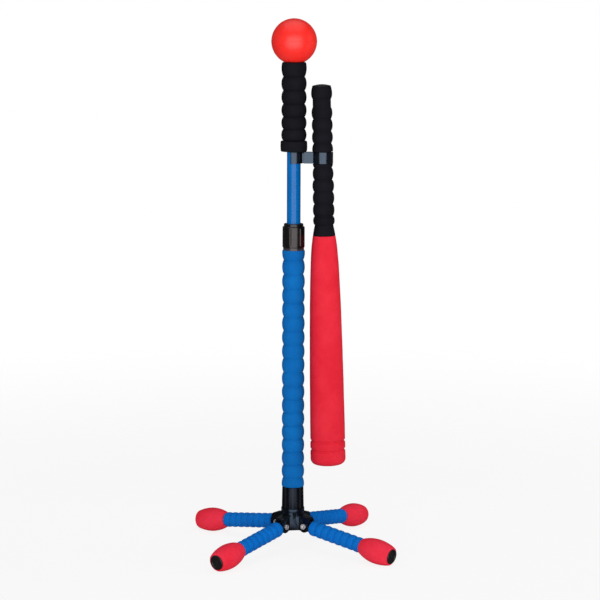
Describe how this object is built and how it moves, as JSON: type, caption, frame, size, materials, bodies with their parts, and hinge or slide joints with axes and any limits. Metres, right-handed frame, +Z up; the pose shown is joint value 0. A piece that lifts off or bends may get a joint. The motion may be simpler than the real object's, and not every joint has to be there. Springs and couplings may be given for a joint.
{
  "type": "batting tee",
  "caption": "Foam batting tee: telescoping pole with a twist lock on fold-down legs with bulb feet, a ball on a foam cup, and a foam bat held in a side clip.",
  "frame": {"origin": "on the floor, on the pole's axis, which is the middle of the four feet", "axes": "+Z up along the pole, +X from the pole towards the bat, -Y the side that is faced in use"},
  "size_m": [0.3462, 0.3462, 0.8984],
  "materials": {
    "black_moulding": "satin",
    "clip_plastic": "gloss",
    "black_cap": "satin",
    "hidden_plastic": "matte",
    "zinc_steel": "satin",
    "painted_tube": "gloss",
    "blue_foam": "matte",
    "black_foam": "matte",
    "red_foam": "matte",
    "ball_foam": "satin"
  },
  "bodies": {
    "base": {"hub": "black_moulding", "leg_pivot_bolts": "zinc_steel", "leg_pivot_nuts": "zinc_steel", "lower_tube": "painted_tube", "lower_foam_sleeve": "blue_foam", "lock_collar": "black_moulding"},
    "base_nut": {"base_nut": "black_moulding"},
    "lock_nut": {"lock_nut": "black_moulding"},
    "pole": {"upper_tube": "painted_tube", "tube_guide_bush": "hidden_plastic", "tube_top_cap": "black_cap", "tee_collar": "black_foam", "tee_foam_sleeve": "black_foam"},
    "clip": {"bat_clip": "clip_plastic"},
    "bat": {"bat_handle_foam": "black_foam", "bat_barrel_foam": "red_foam", "bat_core_tube": "hidden_plastic", "bat_knob_cap": "black_cap"},
    "ball": {"ball": "ball_foam"},
    "leg_fr": {"leg_tongue_fr": "black_moulding", "leg_tube_fr": "painted_tube", "leg_foam_fr": "blue_foam", "foot_bulb_fr": "red_foam", "foot_cap_fr": "black_cap"},
    "leg_br": {"leg_tongue_br": "black_moulding", "leg_tube_br": "painted_tube", "leg_foam_br": "blue_foam", "foot_bulb_br": "red_foam", "foot_cap_br": "black_cap"},
    "leg_bl": {"leg_tongue_bl": "black_moulding", "leg_tube_bl": "painted_tube", "leg_foam_bl": "blue_foam", "foot_bulb_bl": "red_foam", "foot_cap_bl": "black_cap"},
    "leg_fl": {"leg_tongue_fl": "black_moulding", "leg_tube_fl": "painted_tube", "leg_foam_fl": "blue_foam", "foot_bulb_fl": "red_foam", "foot_cap_fl": "black_cap"}
  },
  "joints": [
    {"name": "leg_fold_fr", "type": "hinge", "parent": "base", "child": "leg_fr", "pos_m": [0.02324, -0.01751, 0.04148], "axis": [0.6018, 0.7986, 0], "range_deg": [0, 78]},
    {"name": "leg_fold_br", "type": "hinge", "parent": "base", "child": "leg_br", "pos_m": [0.01751, 0.02324, 0.04148], "axis": [-0.7986, 0.6018, 0], "range_deg": [0, 78]},
    {"name": "leg_fold_bl", "type": "hinge", "parent": "base", "child": "leg_bl", "pos_m": [-0.02324, 0.01751, 0.04148], "axis": [-0.6018, -0.7986, 0], "range_deg": [0, 78]},
    {"name": "leg_fold_fl", "type": "hinge", "parent": "base", "child": "leg_fl", "pos_m": [-0.01751, -0.02324, 0.04148], "axis": [0.7986, -0.6018, 0], "range_deg": [0, 78]},
    {"name": "base_nut_twist", "type": "hinge", "parent": "base", "child": "base_nut", "pos_m": [0, 0, 0.087], "axis": [0, 0, 1], "range_deg": [0, 90]},
    {"name": "lock_nut_twist", "type": "hinge", "parent": "base", "child": "lock_nut", "pos_m": [0, 0, 0.537], "axis": [0, 0, 1], "range_deg": [0, 180]},
    {"name": "pole_slide", "type": "slide", "parent": "base", "child": "pole", "axis": [0, 0, 1], "range_m": [-0.075, 0.18]},
    {"name": "clip_swivel", "type": "hinge", "parent": "pole", "child": "clip", "pos_m": [0, 0, 0.6678], "axis": [0, 0, 1], "continuous": true},
    {"name": "bat_unclip", "type": "slide", "parent": "clip", "child": "bat", "axis": [0, 1, 0], "range_m": [0, 0.08]},
    {"name": "ball_lift", "type": "slide", "parent": "pole", "child": "ball", "axis": [0, 0, 1], "range_m": [0, 0.1]}
  ]
}
